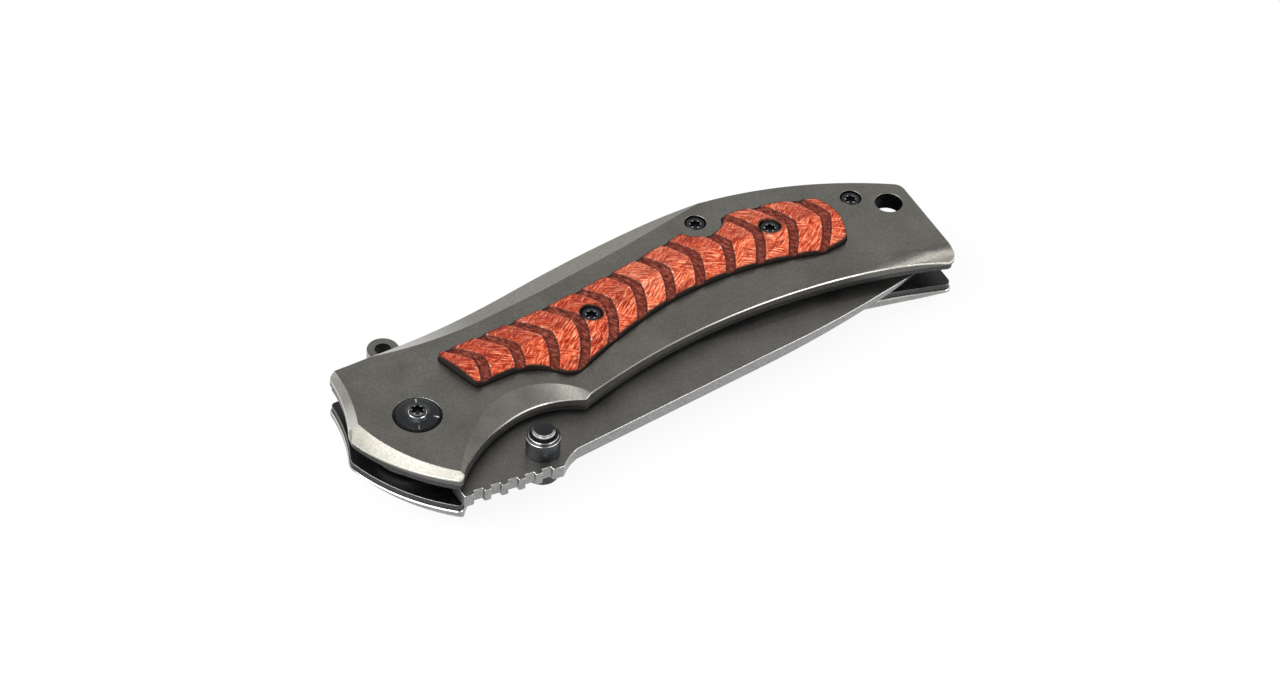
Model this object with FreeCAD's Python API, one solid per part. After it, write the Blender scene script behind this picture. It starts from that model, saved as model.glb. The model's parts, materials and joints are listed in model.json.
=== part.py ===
"""Folding pocket knife with a liner lock, lying closed with its clip side down.

Millimetres. The pieces are drawn about the pivot axis: +X runs along the handle to the butt,
+Y goes to the spine, +Z is the thickness, with zero at the middle of the blade.
At the end everything is moved so that the origin lies on the lanyard hole's axis.
"""
import FreeCAD, Part
import math
import os

V = FreeCAD.Vector
SHARP_JOIN = 2

# Handle
HANDLE_LENGTH = 125.0
HANDLE_WIDTH = 36.0
SCALE_THICKNESS = 2.5
LINER_THICKNESS = 1.2
LINER_INSET = 0.3
CROWN_RADIUS = 1.2
NOSE_RADIUS = 3.0
BUTT_SPINE_RADIUS = 2.4
BUTT_BELLY_RADIUS = 1.6
CHIN_RADIUS = 0.9
GUARD_RADIUS = 0.8
LANYARD_HOLE_DIAMETER = 5.4

# Blade, in its closed place
BLADE_THICKNESS = 2.6
BLADE_TIP_MARGIN = 6.4
BLADE_SPINE_OFFSET = 17.35
BLADE_EDGE_OFFSET = 10.2
BLADE_EDGE_THICKNESS = 0.4
BLADE_TIP_THICKNESS = 1.0
GRIND_WIDTH = 14.0
TANG_RADIUS = 8.5
LOCK_FACE_DEPTH = 1.2
SHOULDER_OVERHANG = 0.6
SHOULDER_HEIGHT = 17.95
RAMP_HEIGHT = 19.95
RAMP_REACH = 18.5
RAMP_LENGTH = 4.3
JIMP_COUNT = 5
JIMP_PITCH = 3.3
JIMP_START = 2.85
JIMP_WIDTH = 1.9
JIMP_DEPTH = 0.85
FLIPPER_HEIGHT = 21.8
FLIPPER_RADIUS = 3.0
FLIPPER_HOLE_DIAMETER = 3.1
FLIPPER_ROOT_RADIUS = 2.0
RICASSO_LENGTH = 8.0
CHOIL_DIAMETER = 2.6

# Pivot
PIVOT_DIAMETER = 5.0
WASHER_DIAMETER = 11.0
WASHER_THICKNESS = 0.7
COLLAR_DIAMETER = 8.6
COLLAR_SEAT_DEPTH = 1.2
COLLAR_RISE = 0.6
COLLAR_RIM_RISE = 0.2
HUB_DIAMETER = 3.8
HUB_RISE = 0.5
REAR_PIVOT_HEAD_DIAMETER = 8.0
REAR_PIVOT_HEAD_HEIGHT = 1.4
STOP_PIN_DIAMETER = 4.0

# Thumb studs
STUD_DIAMETER = 6.2
STUD_BODY_HEIGHT = 3.7
STUD_CAP_DIAMETER = 4.3
STUD_CAP_HEIGHT = 1.7
STUD_REACH = 17.2
STUD_HEIGHT = 14.65

# Lock bar
LOCK_SLOT = 0.8
LOCK_ROOT_GAP = 0.1
LOCK_RELIEF_DEPTH = 0.55
DETENT_BALL_DIAMETER = 1.6
DETENT_INSET = 3.5
DETENT_GAP = 0.05
DETENT_DEPTH = 0.3

# Fasteners and spacers
SCREW_HEAD_DIAMETER = 3.9
SCREW_HEAD_HEIGHT = 1.1
SCREW_RECESS = 0.25
STANDOFF_WIDTH = 5.0
STANDOFF_SIDES = 6

# Inlay
INLAY_SEAT_DEPTH = 1.2
INLAY_EDGE_RISE = 1.0
INLAY_RIDGE_RISE = 1.6
INLAY_GAP = 0.15
INLAY_END_RADIUS = 2.2
INLAY_TIP_RADIUS = 1.2
INLAY_SCALLOP_RADIUS = 5.2
GROOVE_COUNT = 12
GROOVE_WIDTH = 1.9
GROOVE_DEPTH = 0.35

# Pocket clip
CLIP_THICKNESS = 1.0
CLIP_WIDTH = 6.4
CLIP_BASE_LENGTH = 11.0
CLIP_RAMP_LENGTH = 4.0
CLIP_ARM_LENGTH = 38.0
CLIP_BUMP_LENGTH = 6.0
CLIP_TIP_LENGTH = 5.5
CLIP_LIFT = 2.0
CLIP_CONTACT_GAP = 0.1
CLIP_TIP_DIP = 0.2
CLIP_CORNER_RADIUS = 2.4
CLIP_SCREW_SPACING = 5.2
CLIP_SCREW_HEAD_DIAMETER = 3.6
CLIP_SCREW_HEAD_HEIGHT = 0.9
CLIP_ANGLE = 5.0

# Fits
RUNNING_CLEARANCE = 0.03
HOLE_CLEARANCE = 0.1
HEAD_CLEARANCE = 0.15
STOP_CLEARANCE = 0.1
SWEEP_CLEARANCE = 0.5
OVERRUN = 5.0

# Outline arcs, by points as shares of the handle's length and width, counted from the pivot
SPINE_SHARES = [(-0.070, 0.478), (0.112, 0.504), (0.251, 0.577), (0.486, 0.682), (0.898, 0.275)]
BELLY_SHARES = [(0.881, -0.340), (0.528, -0.126), (0.229, -0.294)]
CUTOUT_SHARES = [(0.229, -0.294), (0.167, -0.208), (0.121, -0.217), (-0.005, -0.481)]
JAW_SHARES = [(-0.005, -0.481), (-0.061, -0.261), (-0.101, 0.064)]
BROW_SHARES = [(-0.101, 0.064), (-0.082, 0.222), (-0.070, 0.478)]
LANYARD_SHARES = (0.856, 0.183)
BODY_SCREW_SHARES = [(0.570, 0.544), (0.811, 0.314)]
INLAY_SCREW_SHARES = [(0.321, 0.182), (0.658, 0.298)]
CLIP_BASE_SHARES = (0.824, -0.006)
LOCK_ROOT_SHARES = (0.464, 0.035)
LOCK_TIP_HEIGHT_SHARE = -0.010
DETENT_HEIGHT_SHARE = -0.110

# Bevels of a scale: where each crease runs, and how far its slope falls for each unit outward
SPINE_CREASE_SHARES = [(-0.060, 0.530), (0.072, 0.436), (0.181, 0.438), (0.640, 0.700)]
BELLY_CREASE_SHARES = [(0.890, -0.330), (0.720, -0.030), (0.291, -0.133), (0.215, -0.360)]
CUTOUT_CREASE_SHARES = [(0.245, -0.330), (0.200, -0.132), (0.086, -0.139), (-0.015, -0.510)]
JAW_CREASE_SHARES = [(0.010, -0.480), (-0.057, -0.184), (-0.085, 0.200)]
BROW_CREASE_SHARES = [(-0.090, 0.020), (-0.067, 0.252), (-0.059, 0.520)]
SPINE_FALL_SHARE = 0.25
BELLY_FALL_SHARE = 0.15
CUTOUT_FALL_SHARE = 0.28
FRONT_FALL_SHARE = 0.92
JAW_AIM_SHARES = (-0.85, -0.53)
BROW_AIM_SHARES = (-0.97, 0.24)

# Inlay outline, ridge and chevron grooves
INLAY_UPPER_SHARES = [(0.079, 0.312), (0.334, 0.370), (0.518, 0.475), (0.758, 0.376)]
INLAY_END_SHARES = [(0.758, 0.376), (0.766, 0.240), (0.746, 0.030)]
INLAY_LOWER_SHARES = [(0.702, 0.012), (0.558, 0.108), (0.388, 0.043), (0.254, -0.121),
                      (0.222, -0.092), (0.158, 0.026)]
INLAY_HEEL_SHARES = (0.101, 0.021)
RIDGE_SHARES = [(0.046, 0.162), (0.262, 0.135), (0.374, 0.218), (0.494, 0.279), (0.638, 0.275),
                (0.790, 0.184)]
INLAY_HALF_WIDTH_SHARE = 0.175
GROOVE_SPAN_SHARES = (0.110, 0.732)
GROOVE_UPPER_LEAN_SHARE = 0.62
GROOVE_LOWER_LEAN_SHARE = 0.18

# Blade curves, as shares of its reach and of its spine and edge offsets
BLADE_SPINE_SHARES = [(0.829, 0.632), (0.659, 0.766)]
BLADE_EDGE_SHARES = [(0.380, 0.980), (0.570, 0.824)]
BLADE_TIP_SHARE = 0.411
GRIND_SHARES = [(0.185, 1.000), (0.640, 0.700), (1.060, -1.300)]
TAPER_SHARE = 0.640
RAMP_BOW_SHARE = 0.08

# Levels through the thickness, from the middle of the blade outward
BLADE_FACE = BLADE_THICKNESS / 2
LINER_FACE = BLADE_FACE + WASHER_THICKNESS
SCALE_SEAT = LINER_FACE + LINER_THICKNESS
SCALE_FACE = SCALE_SEAT + SCALE_THICKNESS
INLAY_SEAT = SCALE_FACE - INLAY_SEAT_DEPTH
INLAY_EDGE = SCALE_FACE + INLAY_EDGE_RISE
INLAY_RIDGE = SCALE_FACE + INLAY_RIDGE_RISE
COLLAR_SEAT = SCALE_FACE - COLLAR_SEAT_DEPTH
COLLAR_TOP = SCALE_FACE + COLLAR_RISE
CLIP_FACE = SCALE_FACE + CLIP_LIFT + CLIP_THICKNESS

# Places that several pieces share
BLADE_REACH = SPINE_SHARES[-1][0] * HANDLE_LENGTH - BLADE_TIP_MARGIN
PIVOT_RADIUS = PIVOT_DIAMETER / 2
STOP_PIN_RADIUS = STOP_PIN_DIAMETER / 2
STOP_PIN_ORBIT = TANG_RADIUS + SWEEP_CLEARANCE + STOP_PIN_RADIUS
STOP_FLANK = STOP_PIN_RADIUS + STOP_CLEARANCE
LOCK_TIP = TANG_RADIUS - LOCK_FACE_DEPTH + STOP_CLEARANCE
FLIPPER_X = STOP_FLANK + FLIPPER_RADIUS
FLIPPER_RIGHT = FLIPPER_X + FLIPPER_RADIUS
EDGE_START = FLIPPER_RIGHT + RICASSO_LENGTH


def on_handle(shares, level=0):
    """Point of the handle's plan, from its shares of length and width."""
    return V(shares[0] * HANDLE_LENGTH, shares[1] * HANDLE_WIDTH, level)


def arc(start, middle, end):
    return Part.Arc(start, middle, end).toShape()


def smooth_arcs(points):
    """Run of arcs: the first through three points, each next one tangent to it and on to its point."""
    edges = [arc(*points[:3])]
    for start, end in zip(points[2:], points[3:]):
        heading = edges[-1].tangentAt(edges[-1].LastParameter)
        chord = end - start
        along = chord / chord.Length
        bow = (heading - along * heading.dot(along)) / (1 + heading.dot(along))
        edges.append(arc(start, (start + end + bow * chord.Length) / 2, end))
    return edges


def handle_arcs(shares, level=0):
    return smooth_arcs([on_handle(share, level) for share in shares])


def straight(points):
    """Straight edges from point to point."""
    return [Part.makeLine(start, end) for start, end in zip(points, points[1:])]


def cylinder(centre, radius, bottom, top):
    return Part.makeCylinder(radius, top - bottom, V(centre.x, centre.y, bottom))


def grown(outline, growth):
    """Closed outline moved outward all round, or inward for a negative growth."""
    return Part.Face(outline).makeOffset2D(growth, join=SHARP_JOIN).OuterWire


def prism(outline, bottom, top):
    """Straight solid over a closed outline drawn at level zero."""
    return Part.Face(outline).extrude(V(0, 0, top - bottom)).translated(V(0, 0, bottom))


def turned(profile, centre=V(0, 0, 0)):
    """Solid of revolution from (radius, level) pairs, about an upright axis."""
    points = [V(radius, 0, level) for radius, level in profile]
    face = Part.Face(Part.makePolygon(points + points[:1]))
    solid = face.revolve(V(0, 0, 0), V(0, 0, 1), 360)
    solid.translate(V(centre.x, centre.y, 0))
    return solid


def mirrored(shape):
    """The same piece on the other side of the blade."""
    return shape.mirror(V(0, 0, 0), V(0, 0, 1))


def rounded(outline, corners):
    """Closed outline with an arc in place of the corner nearest to each (corner, radius)."""
    for corner, radius in corners:
        vertex = min(outline.Vertexes, key=lambda one: one.Point.distanceToPoint(corner))
        meeting = [edge for edge in outline.Edges if any(end.isSame(vertex) for end in edge.Vertexes)]
        others = [edge for edge in outline.Edges if not any(edge.isSame(one) for one in meeting)]
        fillet = Part.ChFi2d.FilletAlgo(*meeting, Part.Plane())
        fillet.perform(radius)
        outline = Part.Wire(Part.sortEdges(others + list(fillet.result(vertex.Point)))[0])
    return outline


def slope_cut(crease, aim, reach, fall):
    """Wedge that takes away everything above a slope falling outward from a crease."""
    slope = crease.extrude(V(aim[0] * reach, aim[1] * reach, -fall * reach))
    return slope.extrude(V(0, 0, fall * reach + OVERRUN))


LANYARD = on_handle(LANYARD_SHARES)
BODY_SCREWS = [on_handle(share) for share in BODY_SCREW_SHARES]
INLAY_SCREWS = [on_handle(share) for share in INLAY_SCREW_SHARES]
PIVOT = V(0, 0, 0)
STOP_PIN = V(0, STOP_PIN_ORBIT, 0)
STUD = V(STUD_REACH, -STUD_HEIGHT, 0)
DETENT = V(LOCK_TIP + DETENT_INSET, DETENT_HEIGHT_SHARE * HANDLE_WIDTH, 0)


def handle_outline():
    butt = Part.makeLine(on_handle(SPINE_SHARES[-1]), on_handle(BELLY_SHARES[0]))
    return Part.Wire(handle_arcs(SPINE_SHARES) + [butt] + handle_arcs(BELLY_SHARES)
                     + handle_arcs(CUTOUT_SHARES) + handle_arcs(JAW_SHARES) + handle_arcs(BROW_SHARES))


def handle_plate(bottom, top, inset=0):
    """Plate with the handle's outline, drawn in by an inset, its corners rounded."""
    outline = grown(handle_outline(), -inset) if inset else handle_outline()
    corners = [(SPINE_SHARES[-1], BUTT_SPINE_RADIUS), (BELLY_SHARES[0], BUTT_BELLY_RADIUS),
               (CUTOUT_SHARES[0], GUARD_RADIUS), (JAW_SHARES[0], CHIN_RADIUS),
               (BROW_SHARES[0], NOSE_RADIUS), (SPINE_SHARES[0], CROWN_RADIUS)]
    outline = rounded(outline, [(on_handle(shares), radius - inset) for shares, radius in corners])
    return prism(outline, bottom, top)


def scale_bevels():
    """The five bevels of a scale: spine, belly, finger cut-out and the two at the front."""
    outward = (0, 1)
    inward = (0, -1)
    specs = [(SPINE_CREASE_SHARES, outward, SPINE_FALL_SHARE),
             (BELLY_CREASE_SHARES, inward, BELLY_FALL_SHARE),
             (CUTOUT_CREASE_SHARES, inward, CUTOUT_FALL_SHARE),
             (JAW_CREASE_SHARES, JAW_AIM_SHARES, FRONT_FALL_SHARE),
             (BROW_CREASE_SHARES, BROW_AIM_SHARES, FRONT_FALL_SHARE)]
    return [slope_cut(crease, aim, HANDLE_WIDTH / 2, fall)
            for shares, aim, fall in specs for crease in handle_arcs(shares, SCALE_FACE)]


def inlay_outline():
    foot = [on_handle(share) for share in (INLAY_END_SHARES[-1], INLAY_LOWER_SHARES[0])]
    corners = (INLAY_LOWER_SHARES[-1], INLAY_HEEL_SHARES, INLAY_UPPER_SHARES[0])
    front = [on_handle(share) for share in corners]
    return Part.Wire(handle_arcs(INLAY_UPPER_SHARES) + handle_arcs(INLAY_END_SHARES) + straight(foot)
                     + handle_arcs(INLAY_LOWER_SHARES) + straight(front))


def inlay_plate(gap, bottom, top):
    """Plate with the inlay's outline, grown by a gap, clear of the screw beside it."""
    outline = grown(inlay_outline(), gap) if gap else inlay_outline()
    corners = [(INLAY_END_SHARES[0], INLAY_END_RADIUS), (INLAY_END_SHARES[-1], INLAY_END_RADIUS),
               (INLAY_HEEL_SHARES, INLAY_TIP_RADIUS), (INLAY_UPPER_SHARES[0], INLAY_TIP_RADIUS)]
    outline = rounded(outline, [(on_handle(shares), radius + gap) for shares, radius in corners])
    scallop = cylinder(BODY_SCREWS[0], INLAY_SCALLOP_RADIUS - gap, bottom - OVERRUN, top + OVERRUN)
    return prism(outline, bottom, top).cut(scallop)


def scale_blank():
    """Front scale without what its own side of the pivot needs."""
    cuts = scale_bevels()
    cuts.append(inlay_plate(INLAY_GAP, INLAY_SEAT, SCALE_FACE + OVERRUN))
    cuts.append(cylinder(LANYARD, LANYARD_HOLE_DIAMETER / 2, SCALE_SEAT - OVERRUN, SCALE_FACE + OVERRUN))
    for centre in BODY_SCREWS:
        cuts.append(cylinder(centre, SCREW_HEAD_DIAMETER / 2 + HEAD_CLEARANCE,
                             SCALE_FACE - SCREW_RECESS - SCREW_HEAD_HEIGHT, SCALE_FACE + OVERRUN))
    return handle_plate(SCALE_SEAT, SCALE_FACE).cut(cuts)


def pivot_seat(head_radius, depth):
    """Counterbore for a pivot head."""
    return cylinder(PIVOT, head_radius + HEAD_CLEARANCE, SCALE_FACE - depth, SCALE_FACE + OVERRUN)


def front_scale(blank):
    return blank.cut(pivot_seat(COLLAR_DIAMETER / 2, COLLAR_SEAT_DEPTH))


def rear_scale(blank):
    seat = pivot_seat(REAR_PIVOT_HEAD_DIAMETER / 2, REAR_PIVOT_HEAD_HEIGHT)
    relief = lock_bar_plan(LOCK_SLOT, LOCK_SLOT, SCALE_SEAT - OVERRUN, SCALE_SEAT + LOCK_RELIEF_DEPTH)
    return mirrored(blank.cut([seat, relief]))


def liner():
    """Liner of the front side, with its holes."""
    plate = handle_plate(LINER_FACE, SCALE_SEAT, LINER_INSET)
    bottom = LINER_FACE - OVERRUN
    top = SCALE_SEAT + OVERRUN
    holes = [cylinder(PIVOT, PIVOT_RADIUS + HOLE_CLEARANCE, bottom, top),
             cylinder(LANYARD, LANYARD_HOLE_DIAMETER / 2, bottom, top)]
    return plate.cut(holes)


def lock_bar_plan(side_slot, root_gap, bottom, top):
    """Room of the lock bar, from its tip at the tang to its root, open towards the belly."""
    root = on_handle(LOCK_ROOT_SHARES)
    low = -HANDLE_WIDTH
    corners = [V(LOCK_TIP - side_slot, LOCK_TIP_HEIGHT_SHARE * HANDLE_WIDTH + side_slot, 0),
               V(root.x + root_gap, root.y + side_slot, 0),
               V(root.x + root_gap, low, 0), V(LOCK_TIP - side_slot, low, 0)]
    return prism(Part.makePolygon(corners + corners[:1]), bottom, top)


def rear_liner(blank):
    slot = lock_bar_plan(LOCK_SLOT, LOCK_ROOT_GAP, LINER_FACE - OVERRUN, SCALE_SEAT + OVERRUN)
    return mirrored(blank.cut(slot))


def lock_bar(blank):
    """Arm cut out of the liner, with the hole of its ball."""
    bottom = LINER_FACE - OVERRUN
    top = SCALE_SEAT + OVERRUN
    bar = blank.common(lock_bar_plan(0, 0, bottom, top))
    return mirrored(bar.cut(cylinder(DETENT, DETENT_BALL_DIAMETER / 2 + RUNNING_CLEARANCE, bottom, top)))


def detent_ball():
    """Ball pressed into the lock bar, drawn as a short pin towards the dimple of the blade."""
    nose = BLADE_FACE + DETENT_GAP
    return mirrored(cylinder(DETENT, DETENT_BALL_DIAMETER / 2, nose, nose + DETENT_BALL_DIAMETER))


def inlay():
    """Wood of the front side: a low roof about its ridge, with chevron grooves."""
    fall = (INLAY_RIDGE_RISE - INLAY_EDGE_RISE) / (INLAY_HALF_WIDTH_SHARE * HANDLE_WIDTH)
    slopes = [slope_cut(edge, aim, HANDLE_WIDTH, fall)
              for edge in ridge_edges(INLAY_RIDGE) for aim in ((0, 1), (0, -1))]
    sky = slopes[0].multiFuse(slopes[1:])
    plate = inlay_plate(0, INLAY_SEAT, INLAY_RIDGE).cut(sky)
    carved = sky.translated(V(0, 0, -GROOVE_DEPTH))
    cuts = [groove.common(carved) for groove in groove_prisms()]
    cuts += [cylinder(centre, SCREW_HEAD_DIAMETER / 2 + HEAD_CLEARANCE,
                      INLAY_EDGE - SCREW_HEAD_HEIGHT, INLAY_RIDGE + OVERRUN) for centre in INLAY_SCREWS]
    return plate.cut(cuts)


def ridge_edges(level=0):
    return straight([on_handle(share, level) for share in RIDGE_SHARES])


def groove_prisms():
    """Upright chevrons over the inlay, pointing to the butt, evenly spaced along it."""
    first, last = [share * HANDLE_LENGTH for share in GROOVE_SPAN_SHARES]
    ridge = Part.Wire(ridge_edges())
    reach = HANDLE_WIDTH / 2
    chevrons = []
    for index in range(GROOVE_COUNT):
        x = first + (last - first) * index / (GROOVE_COUNT - 1)
        cross = ridge.distToShape(Part.makeLine(V(x, -HANDLE_WIDTH, 0), V(x, HANDLE_WIDTH, 0)))[1][0][0]
        side = [V(x - GROOVE_UPPER_LEAN_SHARE * reach, cross.y + reach, 0), V(x, cross.y, 0),
                V(x - GROOVE_LOWER_LEAN_SHARE * reach, cross.y - reach, 0)]
        far = [point + V(GROOVE_WIDTH, 0, 0) for point in reversed(side)]
        chevrons.append(prism(Part.makePolygon(side + far + side[:1]), INLAY_SEAT, INLAY_RIDGE + OVERRUN))
    return chevrons


def back_edges(tip):
    """Back of the closed blade, from its tip along the spine, over the thumb ramp to the shoulder's hook."""
    spine = [V(x * BLADE_REACH, -y * BLADE_SPINE_OFFSET, 0) for x, y in BLADE_SPINE_SHARES]
    ramp_foot = V(RAMP_REACH + RAMP_LENGTH, -BLADE_SPINE_OFFSET, 0)
    ramp_top = V(RAMP_REACH, -RAMP_HEIGHT, 0)
    ramp_middle = (ramp_foot + ramp_top) / 2 + V(0, RAMP_LENGTH * RAMP_BOW_SHARE, 0)
    shoulder = V(-SHOULDER_OVERHANG, -SHOULDER_HEIGHT, 0)
    hook = V(-SHOULDER_OVERHANG, -STOP_PIN_ORBIT - STOP_PIN_RADIUS - SWEEP_CLEARANCE, 0)
    notch = V(STOP_FLANK, hook.y, 0)
    back = [arc(tip, *spine), Part.makeLine(spine[-1], ramp_foot), arc(ramp_foot, ramp_middle, ramp_top)]
    return back + straight([ramp_top, shoulder, hook, notch])


def tang_edges():
    """Round end of the tang, between the flanks that meet the stop pin."""
    height = math.sqrt(TANG_RADIUS ** 2 - STOP_FLANK ** 2)
    notch = V(STOP_FLANK, -STOP_PIN_ORBIT - STOP_PIN_RADIUS - SWEEP_CLEARANCE, 0)
    low = V(STOP_FLANK, -height, 0)
    high = V(STOP_FLANK, height, 0)
    flipper_end = V(STOP_FLANK, FLIPPER_HEIGHT, 0)
    return [Part.makeLine(notch, low), arc(low, V(-TANG_RADIUS, 0, 0), high),
            Part.makeLine(high, flipper_end)]


def flipper_edges():
    """Round flipper and the hollow at its root, up to the start of the cutting edge."""
    left = V(STOP_FLANK, FLIPPER_HEIGHT, 0)
    crest = V(FLIPPER_X, FLIPPER_HEIGHT + FLIPPER_RADIUS, 0)
    right = V(FLIPPER_RIGHT, FLIPPER_HEIGHT, 0)
    root = V(FLIPPER_RIGHT, BLADE_EDGE_OFFSET + FLIPPER_ROOT_RADIUS, 0)
    root_end = V(FLIPPER_RIGHT + FLIPPER_ROOT_RADIUS, BLADE_EDGE_OFFSET, 0)
    sag = FLIPPER_ROOT_RADIUS * math.sin(math.pi / 4)
    root_middle = root_end + V(-sag, FLIPPER_ROOT_RADIUS - sag, 0)
    edge_start = V(EDGE_START, BLADE_EDGE_OFFSET, 0)
    return [arc(left, crest, right), Part.makeLine(right, root), arc(root, root_middle, root_end),
            Part.makeLine(root_end, edge_start)]


def blade_outline():
    """Closed blade: edge towards the spine of the handle, its own spine out at the belly."""
    tip = V(BLADE_REACH, -BLADE_TIP_SHARE * BLADE_SPINE_OFFSET, 0)
    edge = [V(x * BLADE_REACH, y * BLADE_EDGE_OFFSET, 0) for x, y in BLADE_EDGE_SHARES]
    cutting = smooth_arcs([V(EDGE_START, BLADE_EDGE_OFFSET, 0)] + edge + [tip])
    return Part.Wire(cutting + back_edges(tip) + tang_edges() + flipper_edges())


def jimping():
    """Square notches along the thumb rest, from the shoulder to the ramp."""
    start = V(-SHOULDER_OVERHANG, -SHOULDER_HEIGHT, 0)
    along = (V(RAMP_REACH, -RAMP_HEIGHT, 0) - start).normalize()
    angle = math.degrees(math.atan2(along.y, along.x))
    notches = []
    for index in range(JIMP_COUNT):
        notch = Part.makeBox(JIMP_WIDTH, JIMP_DEPTH + OVERRUN, BLADE_THICKNESS + 2 * OVERRUN,
                             V(-JIMP_WIDTH / 2, -OVERRUN, -BLADE_FACE - OVERRUN))
        notch.rotate(V(0, 0, 0), V(0, 0, 1), angle)
        notch.translate(start + along * (JIMP_START + JIMP_PITCH * index))
        notches.append(notch)
    return notches


def grind():
    """Flat grind of one face, a constant width back from the edge, running out at the tip."""
    line = [V(x * BLADE_REACH, y * BLADE_EDGE_OFFSET - GRIND_WIDTH, BLADE_FACE) for x, y in GRIND_SHARES]
    fall = (BLADE_FACE - BLADE_EDGE_THICKNESS / 2) / GRIND_WIDTH
    return slope_cut(arc(*line), (0, 1), GRIND_WIDTH + OVERRUN, fall)


def taper():
    """Thinning of one face towards the tip."""
    start = TAPER_SHARE * BLADE_REACH
    crease = Part.makeLine(V(start, -HANDLE_WIDTH, BLADE_FACE), V(start, HANDLE_WIDTH, BLADE_FACE))
    fall = (BLADE_FACE - BLADE_TIP_THICKNESS / 2) / (BLADE_REACH - start)
    return slope_cut(crease, (1, 0), HANDLE_LENGTH, fall)


def blade():
    solid = prism(blade_outline(), -BLADE_FACE, BLADE_FACE)
    low = -BLADE_FACE - OVERRUN
    high = BLADE_FACE + OVERRUN
    choil = V(EDGE_START, BLADE_EDGE_OFFSET, 0)
    lock_face = Part.makeBox(TANG_RADIUS, TANG_RADIUS, BLADE_THICKNESS,
                             V(LOCK_FACE_DEPTH - 2 * TANG_RADIUS, 0, -BLADE_FACE))
    cuts = [cylinder(PIVOT, PIVOT_RADIUS + RUNNING_CLEARANCE, low, high),
            cylinder(V(FLIPPER_X, FLIPPER_HEIGHT, 0), FLIPPER_HOLE_DIAMETER / 2, low, high),
            cylinder(choil, CHOIL_DIAMETER / 2, low, high),
            cylinder(DETENT, DETENT_BALL_DIAMETER / 2, low, -BLADE_FACE + DETENT_DEPTH),
            lock_face, grind(), mirrored(grind()), taper(), mirrored(taper())]
    return solid.cut(cuts + jimping())


def front_thumb_stud():
    """Stepped stud on the blade's front face."""
    body_top = BLADE_FACE + STUD_BODY_HEIGHT
    body = cylinder(STUD, STUD_DIAMETER / 2, BLADE_FACE, body_top)
    return body.fuse(cylinder(STUD, STUD_CAP_DIAMETER / 2, body_top, body_top + STUD_CAP_HEIGHT))


def rear_thumb_stud():
    return mirrored(cylinder(STUD, STUD_DIAMETER / 2, BLADE_FACE, BLADE_FACE + STUD_BODY_HEIGHT))


def pivot_barrel():
    return cylinder(PIVOT, PIVOT_RADIUS, -SCALE_SEAT, SCALE_SEAT)


def pivot_collar():
    """Disc under the pivot screw, its top rising from the rim to the hub."""
    radius = COLLAR_DIAMETER / 2
    return turned([(0, COLLAR_SEAT), (radius, COLLAR_SEAT), (radius, SCALE_FACE + COLLAR_RIM_RISE),
                   (HUB_DIAMETER / 2, COLLAR_TOP), (0, COLLAR_TOP)])


def pivot_screw():
    """Hub on the collar."""
    return cylinder(PIVOT, HUB_DIAMETER / 2, COLLAR_TOP, COLLAR_TOP + HUB_RISE)


def rear_pivot_screw():
    seat = SCALE_FACE - REAR_PIVOT_HEAD_HEIGHT
    return mirrored(cylinder(PIVOT, REAR_PIVOT_HEAD_DIAMETER / 2, seat, SCALE_FACE))


def washer():
    ring = cylinder(PIVOT, WASHER_DIAMETER / 2, BLADE_FACE, LINER_FACE)
    return ring.cut(cylinder(PIVOT, PIVOT_RADIUS + HOLE_CLEARANCE, -OVERRUN, OVERRUN))


def stop_pin():
    return cylinder(STOP_PIN, STOP_PIN_RADIUS, -LINER_FACE, LINER_FACE)


def standoffs():
    """Hexagonal spacers between the liners, under the body screws."""
    reach = STANDOFF_WIDTH / 2 / math.cos(math.pi / STANDOFF_SIDES)
    turns = [2 * math.pi * index / STANDOFF_SIDES for index in range(STANDOFF_SIDES + 1)]
    outline = Part.makePolygon([V(reach * math.cos(turn), reach * math.sin(turn), 0) for turn in turns])
    post = prism(outline, -LINER_FACE, LINER_FACE)
    return Part.makeCompound([post.translated(centre) for centre in BODY_SCREWS])


def screw_heads(centres, diameter, bottom, height):
    """Plain heads of the screws of the front side."""
    return Part.makeCompound([cylinder(centre, diameter / 2, bottom, bottom + height) for centre in centres])


def body_screws():
    """Screws of the front side over the spacers, sunk in the scale."""
    return screw_heads(BODY_SCREWS, SCREW_HEAD_DIAMETER, SCALE_FACE - SCREW_RECESS - SCREW_HEAD_HEIGHT,
                       SCREW_HEAD_HEIGHT)


def inlay_screws():
    """Screws of the front side that hold the wood to its scale."""
    return screw_heads(INLAY_SCREWS, SCREW_HEAD_DIAMETER, INLAY_EDGE - SCREW_HEAD_HEIGHT, SCREW_HEAD_HEIGHT)


def clip_frame(shape):
    """Place what is drawn along the clip, from the middle of its base to its tip, on the handle."""
    base = on_handle(CLIP_BASE_SHARES)
    placed = shape.rotated(V(0, 0, 0), V(0, 0, 1), 180 - CLIP_ANGLE)
    return placed.translated(base)


def clip_screw_places():
    half = CLIP_SCREW_SPACING / 2
    return [clip_frame(Part.Vertex(side, 0, 0)).Point for side in (-half, half)]


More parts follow.
